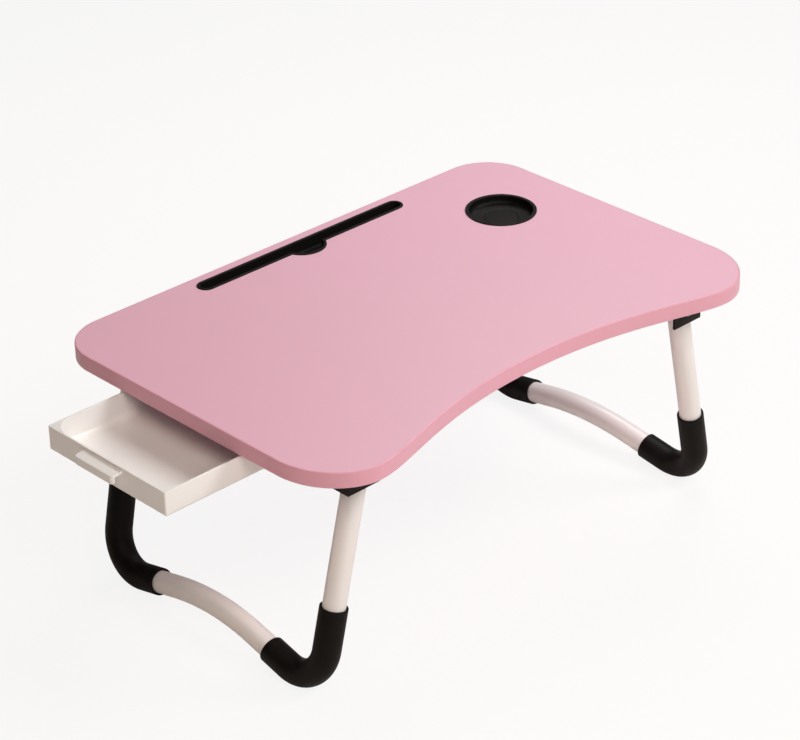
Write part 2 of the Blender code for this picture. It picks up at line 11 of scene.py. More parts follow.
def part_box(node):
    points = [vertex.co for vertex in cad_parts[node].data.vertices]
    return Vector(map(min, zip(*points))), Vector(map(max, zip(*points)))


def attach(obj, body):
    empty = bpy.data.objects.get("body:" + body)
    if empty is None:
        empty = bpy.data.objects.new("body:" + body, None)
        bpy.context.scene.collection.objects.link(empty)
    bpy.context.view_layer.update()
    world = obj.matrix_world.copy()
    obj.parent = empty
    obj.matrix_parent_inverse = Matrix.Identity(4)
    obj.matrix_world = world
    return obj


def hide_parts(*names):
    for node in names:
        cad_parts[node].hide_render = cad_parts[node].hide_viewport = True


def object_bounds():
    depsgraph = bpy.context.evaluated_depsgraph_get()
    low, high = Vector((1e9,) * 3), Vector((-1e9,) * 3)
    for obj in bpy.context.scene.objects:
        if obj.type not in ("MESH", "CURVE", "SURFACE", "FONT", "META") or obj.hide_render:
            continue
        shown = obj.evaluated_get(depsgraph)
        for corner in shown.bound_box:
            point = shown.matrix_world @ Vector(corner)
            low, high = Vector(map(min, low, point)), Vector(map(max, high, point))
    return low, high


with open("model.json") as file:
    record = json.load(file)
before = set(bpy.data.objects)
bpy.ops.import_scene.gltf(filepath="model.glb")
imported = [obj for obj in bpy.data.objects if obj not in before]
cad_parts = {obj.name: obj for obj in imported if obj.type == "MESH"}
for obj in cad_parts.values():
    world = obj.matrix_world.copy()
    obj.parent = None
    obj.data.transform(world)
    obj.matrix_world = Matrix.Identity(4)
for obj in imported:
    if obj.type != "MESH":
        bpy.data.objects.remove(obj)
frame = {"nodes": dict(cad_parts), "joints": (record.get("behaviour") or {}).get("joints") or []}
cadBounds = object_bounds()
quarterTurn = math.pi / 2
hairline = 0.00005          # between two pieces that meet face to face
creaseAngle = math.radians(32)
print("frame loaded,", len(frame["nodes"]), "nodes")


# Outlines

def arcPoints(centre, radius, start, end, steps):
    angles = [start + (end - start) * i / steps for i in range(steps + 1)]
    return [(centre[0] + radius * math.cos(a), centre[1] + radius * math.sin(a))
            for a in angles]


def bezierPoints(a, b, c, d, steps):
    # all points but the last
    points = []
    for i in range(steps):
        t = i / steps
        weights = ((1 - t) ** 3, 3 * t * (1 - t) ** 2, 3 * t * t * (1 - t), t ** 3)
        points.append(tuple(sum(w * p[k] for w, p in zip(weights, (a, b, c, d)))
                            for k in (0, 1)))
    return points


def roundedRectangle(low, high, radius, steps=10):
    corners = (((high[0] - radius, high[1] - radius), 0),
               ((low[0] + radius, high[1] - radius), 1),
               ((low[0] + radius, low[1] + radius), 2),
               ((high[0] - radius, low[1] + radius), 3))
    points = []
    for centre, quarter in corners:
        start = quarter * quarterTurn
        points += arcPoints(centre, radius, start, start + quarterTurn, steps)
    return points


def roundedLine(corners, radii, steps=6):
    # a line through the corners, each inner one rounded; radius 0 keeps the corner
    line = [Vector(corners[0])]
    for i, radius in enumerate(radii, start=1):
        here = Vector(corners[i])
        if radius == 0:
            line.append(here)
            continue
        back = (Vector(corners[i - 1]) - here).normalized()
        ahead = (Vector(corners[i + 1]) - here).normalized()
        half = math.acos(max(-1, min(1, back.dot(ahead)))) / 2
        centre = here + (back + ahead).normalized() * (radius / math.sin(half))
        first = here + back * (radius / math.tan(half)) - centre
        sense = 1 if back.x * ahead.y - back.y * ahead.x < 0 else -1
        for k in range(steps + 1):
            turn = Matrix.Rotation(sense * (math.pi - 2 * half) * k / steps, 2)
            line.append(centre + turn @ first)
    line.append(Vector(corners[-1]))
    return line


def insetLoop(loop, distance):
    # a clockwise outline, moved inwards by the same distance all round
    moved = []
    for i, point in enumerate(loop):
        here = Vector(point)
        before = (here - Vector(loop[i - 1])).normalized()
        after = (Vector(loop[(i + 1) % len(loop)]) - here).normalized()
        side = (before + after).normalized()
        moved.append((here.x + side.y * distance, here.y - side.x * distance))
    return moved


def atHeight(loop, z):
    return [(x, y, z) for x, y in loop]


# Meshes

def newPiece(name, data):
    piece = bpy.data.objects.new(name, data)
    bpy.context.scene.collection.objects.link(piece)
    return piece


def pieceFrom(name, work):
    mesh = bpy.data.meshes.new(name)
    work.to_mesh(mesh)
    work.free()
    return newPiece(name, mesh)


def skinRings(name, rings, wrap=False):
    # a skin through rings of equal count: closed on itself with wrap, else capped
    work = bmesh.new()
    rows = [[work.verts.new(point) for point in ring] for ring in rings]
    count = len(rows[0])
    pairs = list(zip(rows, rows[1:]))
    if wrap:
        pairs.append((rows[-1], rows[0]))
    for lower, upper in pairs:
        for i in range(count):
            j = (i + 1) % count
            work.faces.new((lower[i], lower[j], upper[j], upper[i]))
    if not wrap:
        work.faces.new(rows[0])
        work.faces.new(rows[-1])
    bmesh.ops.recalc_face_normals(work, faces=work.faces)
    return pieceFrom(name, work)


def lathe(name, profile, segments, place=Matrix.Identity(4)):
    # profile is (radius, height), with radius 0 at both ends
    work = bmesh.new()
    rows = []
    for radius, height in profile:
        if radius == 0:
            rows.append([work.verts.new((0, 0, height))])
            continue
        rows.append([work.verts.new((radius * math.cos(2 * math.pi * k / segments),
                                     radius * math.sin(2 * math.pi * k / segments), height))
                     for k in range(segments)])
    for lower, upper in zip(rows, rows[1:]):
        for k in range(segments):
            j = (k + 1) % segments
            corners = {id(v): v for v in (lower[k % len(lower)], lower[j % len(lower)],
                                          upper[j % len(upper)], upper[k % len(upper)])}
            if len(corners) > 2:
                work.faces.new(list(corners.values()))
    bmesh.ops.recalc_face_normals(work, faces=work.faces)
    work.transform(place)
    return pieceFrom(name, work)


def block(name, low, high):
    work = bmesh.new()
    bmesh.ops.create_cube(work, size=1)
    bmesh.ops.scale(work, vec=[b - a for a, b in zip(low, high)], verts=work.verts)
    bmesh.ops.translate(work, vec=[(a + b) / 2 for a, b in zip(low, high)], verts=work.verts)
    return pieceFrom(name, work)


def bake(piece):
    # the mesh that the piece's modifiers make takes its place
    graph = bpy.context.evaluated_depsgraph_get()
    mesh = bpy.data.meshes.new_from_object(piece.evaluated_get(graph))
    piece.modifiers.clear()
    piece.data = mesh
    return piece


def combine(piece, tool, operation):
    step = piece.modifiers.new(operation, "BOOLEAN")
    step.operation = operation
    step.object = tool
    step.solver = "EXACT"
    bake(piece)
    bpy.data.objects.remove(tool, do_unlink=True)


def softenEdges(piece, width, segments=3):
    step = piece.modifiers.new("softened", "BEVEL")
    step.width = width
    step.segments = segments
    step.limit_method = "ANGLE"
    step.angle_limit = creaseAngle
    bake(piece)


def dress(piece, body, slotName, material, *nodes):
    piece.data.materials.clear()
    piece.data.materials.append(material)
    piece.data.shade_smooth()
    piece.data.set_sharp_from_angle(angle=creaseAngle)
    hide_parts(*nodes)
    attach(piece, body)


# Finishes

# most values of a noise lie from usualLow to usualHigh
noiseShape = {"patchDetail": 3, "grainDetail": 2, "usualLow": 0.3, "usualHigh": 0.7}


def grainedFinish(name, look):
    # colour, roughness and relief that vary over the surface, in real sizes
    material = bpy.data.materials.new(name)
    material.use_nodes = True
    nodes = material.node_tree.nodes
    links = material.node_tree.links
    shader = nodes["Principled BSDF"]
    shader.inputs["Metallic"].default_value = look["metallic"]
    shader.inputs["Specular IOR Level"].default_value = look["specular"]
    shader.inputs["Coat Weight"].default_value = look["coat"]
    shader.inputs["Coat Roughness"].default_value = look["coatRoughness"]
    place = nodes.new("ShaderNodeTexCoord").outputs["Object"]

    def noise(size, detail):
        texture = nodes.new("ShaderNodeTexNoise")
        texture.inputs["Scale"].default_value = 1 / size
        texture.inputs["Detail"].default_value = detail
        links.new(place, texture.inputs["Vector"])
        return texture.outputs["Fac"]

    patches = noise(look["patchSize"], noiseShape["patchDetail"])
    grain = noise(look["grainSize"], noiseShape["grainDetail"])
    colour = nodes.new("ShaderNodeMix")
    colour.data_type = "RGBA"
    colour.inputs["A"].default_value = (*look["colour"], 1)
    colour.inputs["B"].default_value = (*look["patchColour"], 1)
    links.new(patches, colour.inputs["Factor"])
    links.new(colour.outputs["Result"], shader.inputs["Base Color"])
    rough = nodes.new("ShaderNodeMapRange")
    rough.inputs["From Min"].default_value = noiseShape["usualLow"]
    rough.inputs["From Max"].default_value = noiseShape["usualHigh"]
    rough.inputs["To Min"].default_value = look["roughness"][0]
    rough.inputs["To Max"].default_value = look["roughness"][1]
    links.new(grain, rough.inputs["Value"])
    links.new(rough.outputs["Result"], shader.inputs["Roughness"])
    relief = nodes.new("ShaderNodeBump")
    relief.inputs["Strength"].default_value = look["reliefShare"]
    relief.inputs["Distance"].default_value = look["reliefDepth"]
    links.new(grain, relief.inputs["Height"])
    links.new(relief.outputs["Normal"], shader.inputs["Normal"])
    return material


laminateLook = {"colour": (0.775, 0.452, 0.565), "patchColour": (0.757, 0.437, 0.550),
                "roughness": (0.42, 0.50), "metallic": 0, "specular": 0.42,
                "coat": 0, "coatRoughness": 0.3,
                "patchSize": 0.060, "grainSize": 0.0011,
                "reliefShare": 0.25, "reliefDepth": 0.00008}
# painted shade: the edge band's pink is set deeper and more saturated than the top's, standing
# in for the shade on the board's side edges
bandShadedLook = dict(laminateLook, colour=(0.770, 0.392, 0.485),
                patchColour=(0.755, 0.378, 0.470), roughness=(0.30, 0.38),
                specular=0.26, coat=0.06, coatRoughness=0.22, patchSize=0.040)
blackLook = {"colour": (0.0046, 0.0040, 0.0038), "patchColour": (0.0056, 0.0049, 0.0046),
             "roughness": (0.44, 0.56), "metallic": 0, "specular": 0.13,
             "coat": 0, "coatRoughness": 0.3,
             "patchSize": 0.025, "grainSize": 0.0007,
             "reliefShare": 0.35, "reliefDepth": 0.00007}
powderLook = {"colour": (0.860, 0.840, 0.825), "patchColour": (0.840, 0.820, 0.805),
              "roughness": (0.30, 0.40), "metallic": 0, "specular": 0.50,
              "coat": 0.15, "coatRoughness": 0.25,
              "patchSize": 0.030, "grainSize": 0.0016,
              "reliefShare": 0.30, "reliefDepth": 0.00009}
whiteLook = {"colour": (0.870, 0.862, 0.845), "patchColour": (0.855, 0.847, 0.830),
             "roughness": (0.30, 0.38), "metallic": 0, "specular": 0.50,
             "coat": 0.10, "coatRoughness": 0.2,
             "patchSize": 0.050, "grainSize": 0.0010,
             "reliefShare": 0.20, "reliefDepth": 0.00005}
rivetLook = {"colour": (0.060, 0.058, 0.056), "patchColour": (0.085, 0.080, 0.076),
             "roughness": (0.30, 0.45), "metallic": 1, "specular": 0.50,
             "coat": 0, "coatRoughness": 0.3,
             "patchSize": 0.003, "grainSize": 0.0005,
             "reliefShare": 0.30, "reliefDepth": 0.00004}
zincLook = {"colour": (0.640, 0.640, 0.620), "patchColour": (0.560, 0.570, 0.570),
            "roughness": (0.24, 0.38), "metallic": 1, "specular": 0.50,
            "coat": 0, "coatRoughness": 0.3,
            "patchSize": 0.002, "grainSize": 0.0004,
            "reliefShare": 0.30, "reliefDepth": 0.00003}

laminatePink = grainedFinish("laminatePink", laminateLook)
bandShadedPink = grainedFinish("bandShadedPink", bandShadedLook)
blackPlastic = grainedFinish("blackPlastic", blackLook)
powderWhite = grainedFinish("powderWhite", powderLook)
drawerWhite = grainedFinish("drawerWhite", whiteLook)
rivetBlack = grainedFinish("rivetBlack", rivetLook)
screwZinc = grainedFinish("screwZinc", zincLook)
print("finishes made")


# Board with its edge band

bandLow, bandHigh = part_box("edge_band")
halfLength = bandHigh.x
halfDepth = bandHigh.y
underside = bandLow.z
boardShape = {"rearRadius": 0.0527, "frontRise": 0.0742, "sideHandle": 0.0478,
              "lobeInset": 0.0612, "lobeOuterHandle": 0.0254, "lobeInnerHandle": 0.0423,
              "bayDepth": 0.0428, "bayHandle": 0.1291,
              "bandThickness": 0.0015, "topArris": 0.0011, "lowerArris": 0.0008,
              "cornerSteps": 28, "lobeSteps": 34, "baySteps": 50, "arrisSteps": 7}


def deskOutline():
    # right half from the rear to the middle of the front, then its mirror image
    s = boardShape
    rear = (halfLength - s["rearRadius"], halfDepth - s["rearRadius"])
    side = (halfLength, s["frontRise"] - halfDepth)
    lobe = (halfLength - s["lobeInset"], -halfDepth)
    bay = (0, s["bayDepth"] - halfDepth)
    right = arcPoints(rear, s["rearRadius"], quarterTurn, 0, s["cornerSteps"])
    right += bezierPoints(side, (side[0], side[1] - s["sideHandle"]),
                          (lobe[0] + s["lobeOuterHandle"], lobe[1]), lobe, s["lobeSteps"])
    right += bezierPoints(lobe, (lobe[0] - s["lobeInnerHandle"], lobe[1]),
                          (s["bayHandle"], bay[1]), bay, s["baySteps"])
    return right + [bay] + [(-x, y) for x, y in reversed(right)]


linerLow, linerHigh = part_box("tablet_slot_liner")
slotShape = {"width": 0.020, "flangeWidth": 0.0018, "wall": 0.0014, "floor": 0.0015,
             "draft": 0.0006, "flatMargin": 0.0040, "bottomRound": 0.0012,
             "rimRound": 0.0006, "mouthRound": 0.0007, "fillet": 0.0022,
             "endSteps": 20, "notchSteps": 28, "roundSteps": 6}
slotCentreX = (linerLow.x + linerHigh.x) / 2
slotY = linerHigh.y - slotShape["width"] / 2


def slotOutline(grow):
    # round-ended slot whose front edge opens into a shallow round notch
    halfWidth = slotShape["width"] / 2 + grow
    straight = (linerHigh.x - linerLow.x - slotShape["width"]) / 2
    notch = slotY - linerLow.y + grow
    chord = math.acos(halfWidth / notch)
    outline = arcPoints((-straight, 0), halfWidth, quarterTurn, 3 * quarterTurn,
                        slotShape["endSteps"])
    outline += arcPoints((0, 0), notch, -quarterTurn - chord, -quarterTurn + chord,
                         slotShape["notchSteps"])
    outline += arcPoints((straight, 0), halfWidth, -quarterTurn, quarterTurn,
                         slotShape["endSteps"])
    return [(slotCentreX + x, slotY + y) for x, y in outline]


cupLow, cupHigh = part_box("cup_holder")
cupCentre = ((cupLow.x + cupHigh.x) / 2, (cupLow.y + cupHigh.y) / 2)
cupShape = {"bodyRadius": 0.0355, "wall": 0.0016, "recess": 0.0075, "draft": 0.0004,
            "bottomRound": 0.0008, "flangeRound": 0.0005, "lipRound": 0.0007,
            "dishRadius": 0.0040, "ringRadius": 0.0185, "ringWidth": 0.0011,
            "ringDepth": 0.0004, "ringEdgeRound": 0.0004, "ringBottomRound": 0.0005,
            "segments": 120, "roundSteps": 7}


def makeBoard():
    curve = bpy.data.curves.new("desktopBoard", "CURVE")
    curve.dimensions = "2D"
    curve.fill_mode = "BOTH"
    curve.extrude = -underside / 2
    loops = (insetLoop(deskOutline(), boardShape["bandThickness"] + hairline),
             slotOutline(-slotShape["flangeWidth"] + hairline),
             arcPoints(cupCentre, cupShape["bodyRadius"] + hairline, 0, 2 * math.pi,
                       cupShape["segments"])[:-1])
    for loop in loops:
        spline = curve.splines.new("POLY")
        spline.points.add(len(loop) - 1)
        for point, spot in zip(spline.points, loop):
            point.co = (spot[0], spot[1], 0, 1)
        spline.use_cyclic_u = True
    flat = newPiece("desktopBoard", curve)
    graph = bpy.context.evaluated_depsgraph_get()
    mesh = bpy.data.meshes.new_from_object(flat.evaluated_get(graph))
    bpy.data.objects.remove(flat, do_unlink=True)
    work = bmesh.new()
    work.from_mesh(mesh)
    bmesh.ops.remove_doubles(work, verts=work.verts, dist=hairline / 10)
    work.transform(Matrix.Translation((0, 0, underside / 2)))
    board = pieceFrom("deskBoard", work)
    dress(board, "desktop", "board_laminate", laminatePink, "desktop_board")


def makeBand():
    s = boardShape
    outline = deskOutline()
    deep = s["bandThickness"]
    section = roundedLine([(deep, underside), (0, underside), (0, 0), (deep, 0)],
                          (s["lowerArris"], s["topArris"]), s["arrisSteps"])
    rings = [atHeight(insetLoop(outline, inwards), z) for inwards, z in section]
    band = skinRings("pinkEdgeBand", rings, wrap=True)
    dress(band, "desktop", "edge_banding", bandShadedPink, "edge_band")


makeBoard()
makeBand()
print("board and edge band made")


# Tablet slot liner and cup recess

def makeSlotLiner():
    s = slotShape
    low, high = linerLow.z, linerHigh.z
    body = -s["flangeWidth"]
    cavity = body - s["wall"]
    floor = low + s["floor"]
    # a flat face is capped on a ring that lies flatMargin inside its corner
    section = roundedLine([(body - s["flatMargin"], low), (body, low), (body, hairline),
                           (0, hairline), (0, high), (cavity, high),
                           (cavity - s["draft"], floor), (cavity - s["flatMargin"], floor)],
                          (s["bottomRound"], 0, 0, s["rimRound"], s["mouthRound"],
                           s["fillet"]), s["roundSteps"])
    rings = [atHeight(slotOutline(grow), z) for grow, z in section]
    liner = skinRings("tabletSlotLiner", rings)
    dress(liner, "desktop", "black_plastic", blackPlastic, "tablet_slot_liner")


def makeCupHolder():
    s = cupShape
    top = cupHigh.z
    low = cupLow.z
    rim = cupHigh.x - cupCentre[0]
    inner = s["bodyRadius"] - s["wall"]
    floor = -s["recess"]
    ring = s["ringRadius"]
    groove = s["ringWidth"]
    profile = roundedLine([(0, low), (s["bodyRadius"], low), (s["bodyRadius"], hairline),
                           (rim, hairline), (rim, top), (inner, top),
                           (inner - s["draft"], floor), (ring + groove, floor),
                           (ring, floor - s["ringDepth"]), (ring - groove, floor), (0, floor)],
                          (s["bottomRound"], 0, 0, s["flangeRound"], s["lipRound"],
                           s["dishRadius"], s["ringEdgeRound"], s["ringBottomRound"],
                           s["ringEdgeRound"]), s["roundSteps"])
    holder = lathe("cupRecess", profile, s["segments"], Matrix.Translation((*cupCentre, 0)))
    dress(holder, "desktop", "black_plastic", blackPlastic, "cup_holder")


makeSlotLiner()
makeCupHolder()
print("slot liner and cup recess made")


# Legs: tube, foot sleeves and end plugs

legShape = {"splay": math.radians(12.46), "edgeMargin": 0.0399, "footInset": 0.0056,
            "length": 0.2340, "tubeRadius": 0.0115, "tubeWall": 0.0011,
            "cornerBend": 0.0387, "archRise": 0.0316, "archBend": 0.290, "stub": 0.0072,
            "sleeveRadius": 0.0140, "sleeveUpright": 0.0926, "sleeveRail": 0.0733,
            "sleeveGap": 0.00015, "sleeveLip": 0.0007, "tubeLip": 0.0003,
            "pinHoleRadius": 0.0033, "sides": 56, "bendSteps": 24, "sleeveSteps": 28,
            "lipSteps": 4, "pinHoleSides": 32}
hinges = {joint["child"]: Vector(joint["pos_m"]) for joint in frame["joints"]
          if joint["type"] == "hinge"}
topHalfSpan = halfDepth - legShape["edgeMargin"]
footHalfSpan = topHalfSpan - legShape["footInset"]


def legFrame(side):
    # a leg is drawn flat: x along the hinge axis, y down the leg
    sense = -1 if side == "left" else 1
    splay = legShape["splay"]
    across = Vector((0, 1, 0))
    down = Vector((sense * math.sin(splay), 0, -math.cos(splay)))
    place = Matrix((across, down, across.cross(down))).transposed().to_4x4()
    place.translation = hinges[side + "_leg"]
    return place


def halfSpanAt(down):
    return topHalfSpan - legShape["footInset"] * down / legShape["length"]


def legCorners():
    stub = -legShape["stub"]
    length = legShape["length"]
    return [(-halfSpanAt(stub), stub), (-footHalfSpan, length),
            (0, length - legShape["archRise"]), (footHalfSpan, length),
            (halfSpanAt(stub), stub)]


def pathRing(point, direction, radius, shift=0):
    # a circle square to a flat path; shift moves it along the path
    sideways = Vector((-direction.y, direction.x))
    middle = point + direction * shift
    ring = []
    for k in range(legShape["sides"]):
        turn = 2 * math.pi * k / legShape["sides"]
        flat = middle + sideways * (radius * math.cos(turn))
        ring.append((flat.x, flat.y, radius * math.sin(turn)))
    return ring


def openPipe(name, path, outer, inner, lip, place):
    # a thick-walled pipe; a mouth is (radius, shift) from the bore round to the outside
    first = (path[1] - path[0]).normalized()
    last = (path[-1] - path[-2]).normalized()
    middles = [(path[i], (path[i + 1] - path[i - 1]).normalized())
               for i in range(1, len(path) - 1)]
    lipSteps = legShape["lipSteps"]
    turns = [quarterTurn * k / lipSteps for k in range(lipSteps + 1)]
    mouth = [(inner + lip * (1 - math.cos(a)), lip * (1 - math.sin(a))) for a in turns]
    mouth += [(outer - lip * (1 - math.sin(a)), lip * (1 - math.cos(a))) for a in turns]
    rings = [pathRing(path[0], first, radius, shift) for radius, shift in mouth]
    rings += [pathRing(point, way, outer) for point, way in middles]
    rings += [pathRing(path[-1], last, radius, -shift) for radius, shift in reversed(mouth)]
    rings += [pathRing(point, way, inner) for point, way in reversed(middles)]
    pipe = skinRings(name, rings, wrap=True)
    pipe.data.transform(place)
    return pipe


def towards(start, goal, distance):
    start = Vector(start)
    return start + (Vector(goal) - start).normalized() * distance


def makeTube(side):
    s = legShape
    path = roundedLine(legCorners(), (s["cornerBend"], s["archBend"], s["cornerBend"]),
                       s["bendSteps"])
    tube = openPipe(side + "LegTube", path, s["tubeRadius"], s["tubeRadius"] - s["tubeWall"],
                    s["tubeLip"], legFrame(side))
    hinge = hinges[side + "_leg"]
    for way in (-1, 1):
        middle = hinge + Vector((0, way * topHalfSpan, 0))
        turn = Matrix.Translation(middle) @ Matrix.Rotation(quarterTurn, 4, "X")
        reach = 2 * s["tubeRadius"]
        drill = lathe("pinDrill", [(0, -reach), (s["pinHoleRadius"], -reach),
                                   (s["pinHoleRadius"], reach), (0, reach)],
                      s["pinHoleSides"], turn)
        combine(tube, drill, "DIFFERENCE")
    dress(tube, side + "_leg", "white_powder_coat", powderWhite, side + "_leg_tube")


def makeSleeve(side, end, way):
    s = legShape
    node = f"{side}_{end}_foot_sleeve"
    corners = legCorners()
    ends = (towards(corners[1], corners[0], s["sleeveUpright"]), corners[1],
            towards(corners[1], corners[2], s["sleeveRail"]))
    bend = roundedLine(ends, (s["cornerBend"],), s["sleeveSteps"])
    path = [Vector((-way * p.x, p.y)) for p in bend]
    sleeve = openPipe(f"{side}{end.capitalize()}FootSleeve", path, s["sleeveRadius"],
                      s["tubeRadius"] + s["sleeveGap"], s["sleeveLip"], legFrame(side))
    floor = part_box(node)[0].z
    for corner in sleeve.data.vertices:
        corner.co.z = max(corner.co.z, floor)      # the flat that it stands on
    dress(sleeve, side + "_leg", "black_plastic", blackPlastic, node)


plugShape = {"flangeRadius": 0.0110, "top": 0.0013, "stem": 0.0033, "crown": 0.0005,
             "stemRound": 0.0004, "edgeRound": 0.0003, "crownRound": 0.0006,
             "segments": 48, "roundSteps": 5}


def makePlug(side, end, way):
    s = plugShape
    bore = legShape["tubeRadius"] - legShape["tubeWall"] - hairline
    stub = -legShape["stub"]
    profile = roundedLine([(0, -s["stem"]), (bore, -s["stem"]), (bore, hairline),
                           (s["flangeRadius"], hairline),
                           (s["flangeRadius"], s["top"] - s["crown"]), (0, s["top"])],
                          (s["stemRound"], 0, s["edgeRound"], s["crownRound"]),
                          s["roundSteps"])
    tubeEnd = Vector((way * halfSpanAt(stub), stub, 0))
    foot = Vector((way * footHalfSpan, legShape["length"], 0))
    outwards = (tubeEnd - foot).to_track_quat("Z", "Y").to_matrix().to_4x4()
    place = legFrame(side) @ Matrix.Translation(tubeEnd) @ outwards
    plug = lathe(f"{side}{end.capitalize()}TubePlug", profile, s["segments"], place)
    dress(plug, side + "_leg", "black_plastic", blackPlastic, f"{side}_{end}_tube_plug")


for side in ("left", "right"):
    makeTube(side)
    for end, way in (("front", -1), ("rear", 1)):
        makeSleeve(side, end, way)
        makePlug(side, end, way)
print("legs made")


# Hinge brackets and their rivets

bracketShape = {"cheekGap": 0.0011, "cheek": 0.0025, "base": 0.0022, "stopReach": 0.0149,
                "ribLength": 0.0080, "ribHeight": 0.0050, "ribWidth": 0.0018,
                "edgeRound": 0.0007, "overlap": 0.0005}


def makeBracket(side, end):
    s = bracketShape
    name = f"{side}_{end}_hinge_bracket"
    low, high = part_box(name)
    outer = low.x if side == "left" else high.x
    inner = high.x if side == "left" else low.x
    inwards = 1 if side == "left" else -1
    middle = (low.y + high.y) / 2
    gap = legShape["tubeRadius"] + s["cheekGap"]
    wide = gap + s["cheek"]
    plate = high.z - s["base"]
    ribMargin = inwards * 2 * s["ribWidth"]

    def span(a, b):
        return min(a, b), max(a, b)

    bracket = block(f"{side}{end.capitalize()}HingeBracket", (low.x, low.y, plate),
                    (high.x, high.y, high.z))
    for way in (-1, 1):
        near, far = span(middle + way * gap, middle + way * wide)
        combine(bracket, block("cheek", (low.x, near, low.z),
                               (high.x, far, plate + s["overlap"])), "UNION")
        for place in (inner - ribMargin, outer + ribMargin):
            ribStart, ribEnd = span(middle + way * (wide - s["overlap"]),
                                    middle + way * (wide + s["ribLength"]))
            rib = block("rib", (place - s["ribWidth"] / 2, ribStart, plate - s["ribHeight"]),
                        (place + s["ribWidth"] / 2, ribEnd, plate + s["overlap"]))
            for corner in rib.data.vertices:
                if abs(corner.co.y - middle) > wide and corner.co.z < plate:
                    corner.co.z = plate - s["overlap"]
            combine(bracket, rib, "UNION")
    first, last = span(outer, hinges[side + "_leg"].x - inwards * s["stopReach"])
    combine(bracket, block("stop", (first, middle - gap - s["overlap"], low.z),
                           (last, middle + gap + s["overlap"], plate + s["overlap"])), "UNION")
    softenEdges(bracket, s["edgeRound"])
    dress(bracket, "desktop", "black_plastic", blackPlastic, name)


pinShape = {"radius": 0.0030, "headRadius": 0.0050, "headHeight": 0.0012,
            "crownShare": 0.55, "headEdge": 0.0004, "crownRound": 0.0012,
            "edgeRound": 0.0004, "shoulderRound": 0.0001, "segments": 40, "roundSteps": 6}


def makePin(side, end):
    s = pinShape
    name = f"{side}_{end}_hinge_pin"
    low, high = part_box(name)
    middle = (low + high) / 2
    reach = (high.y - low.y) / 2
    shoulder = reach - s["headHeight"]
    half = roundedLine([(0, reach), (s["headRadius"] * s["crownShare"], reach),
                        (s["headRadius"], shoulder + s["headEdge"]),
                        (s["headRadius"], shoulder), (s["radius"], shoulder)],
                       (s["crownRound"], s["edgeRound"], s["shoulderRound"]),
                       s["roundSteps"])
    profile = half + [(radius, -z) for radius, z in reversed(half)]
    place = Matrix.Translation(middle) @ Matrix.Rotation(quarterTurn, 4, "X")
    pin = lathe(f"{side}{end.capitalize()}HingePin", profile, s["segments"], place)
    dress(pin, "desktop", "black_steel", rivetBlack, name)


for side in ("left", "right"):
    for end in ("front", "rear"):
        makeBracket(side, end)
        makePin(side, end)
print("brackets and rivets made")


# Drawer and its rails

drawerShape = {"length": 0.195, "height": 0.0265, "wall": 0.0020, "floor": 0.0020,
               "cornerRadius": 0.0018, "bottomRadius": 0.0035, "rimRound": 0.0004,
               "leastRadius": 0.0004, "cavityRadius": 0.0240, "draft": 0.0035,
               "fillet": 0.0080, "flatMargin": 0.0128, "runnerWidth": 0.0050,
               "runnerHeight": 0.0022, "runnerDrop": 0.0004, "runnerRound": 0.0004,
               "overlap": 0.0010, "cornerSteps": 14, "roundSteps": 7, "filletSteps": 9}
railShape = {"thickness": 0.0022, "flange": 0.0120, "sideGap": 0.0006, "lipGap": 0.0003,
             "endLip": 0.0010, "stop": 0.0020, "edgeRound": 0.0004}
drawerLow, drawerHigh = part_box("drawer")
drawerFront = drawerHigh.x - drawerShape["length"]
drawerMiddle = (drawerLow.y + drawerHigh.y) / 2
drawerHalfWidth = (drawerHigh.y - drawerLow.y) / 2 - drawerShape["runnerWidth"]
rimZ = drawerHigh.z


def drawerRing(margin, radius, z):
    low = (drawerFront + margin, drawerMiddle - drawerHalfWidth + margin)
    high = (drawerHigh.x - margin, drawerMiddle + drawerHalfWidth - margin)
    return atHeight(roundedRectangle(low, high, radius, drawerShape["cornerSteps"]), z)


def makeDrawer():
    s = drawerShape
    floor = rimZ - s["height"]
    cavity = floor + s["floor"]
    lean = s["wall"] + s["draft"]
    # margin from the outside and height, up the outside and down into the cavity
    outside = roundedLine([(s["wall"], floor), (0, floor), (0, rimZ), (s["wall"], rimZ)],
                          (s["bottomRadius"], s["rimRound"]), s["roundSteps"])
    inside = roundedLine([(0, rimZ), (s["wall"], rimZ), (lean, cavity),
                          (lean + s["flatMargin"], cavity)],
                         (s["rimRound"], s["fillet"]), s["filletSteps"])
    rings = [drawerRing(margin, max(s["cornerRadius"] - margin, s["leastRadius"]), z)
             for margin, z in outside[1:-1]]
    rings += [drawerRing(margin, s["cavityRadius"] - (margin - s["wall"]), z)
              for margin, z in inside[1:]]
    drawer = skinRings("whiteDrawer", rings)
    combine(drawer, makePull(), "UNION")
    runnerTop = rimZ - s["runnerDrop"]
    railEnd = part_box("drawer_rail_front")[0].x
    runnerStart = railEnd + railShape["endLip"] + railShape["stop"] + railShape["lipGap"]
    for way in (-1, 1):
        near = drawerMiddle + way * (drawerHalfWidth - s["overlap"])
        far = drawerMiddle + way * (drawerHalfWidth + s["runnerWidth"])
        runner = block("runner", (runnerStart, min(near, far),
                                  runnerTop - s["runnerHeight"]),
                       (drawerHigh.x, max(near, far), runnerTop))
        softenEdges(runner, s["runnerRound"])
        combine(drawer, runner, "UNION")
    dress(drawer, "drawer", "white_plastic", drawerWhite, "drawer")


pullShape = {"offset": 0.0034, "width": 0.0557, "depth": 0.0120, "height": 0.0083,
             "drop": 0.0028, "slope": 0.0018, "wall": 0.0016, "cornerRadius": 0.0036,
             "edgeRound": 0.0005, "topMargin": 0.0015, "cornerSteps": 12, "roundSteps": 6}


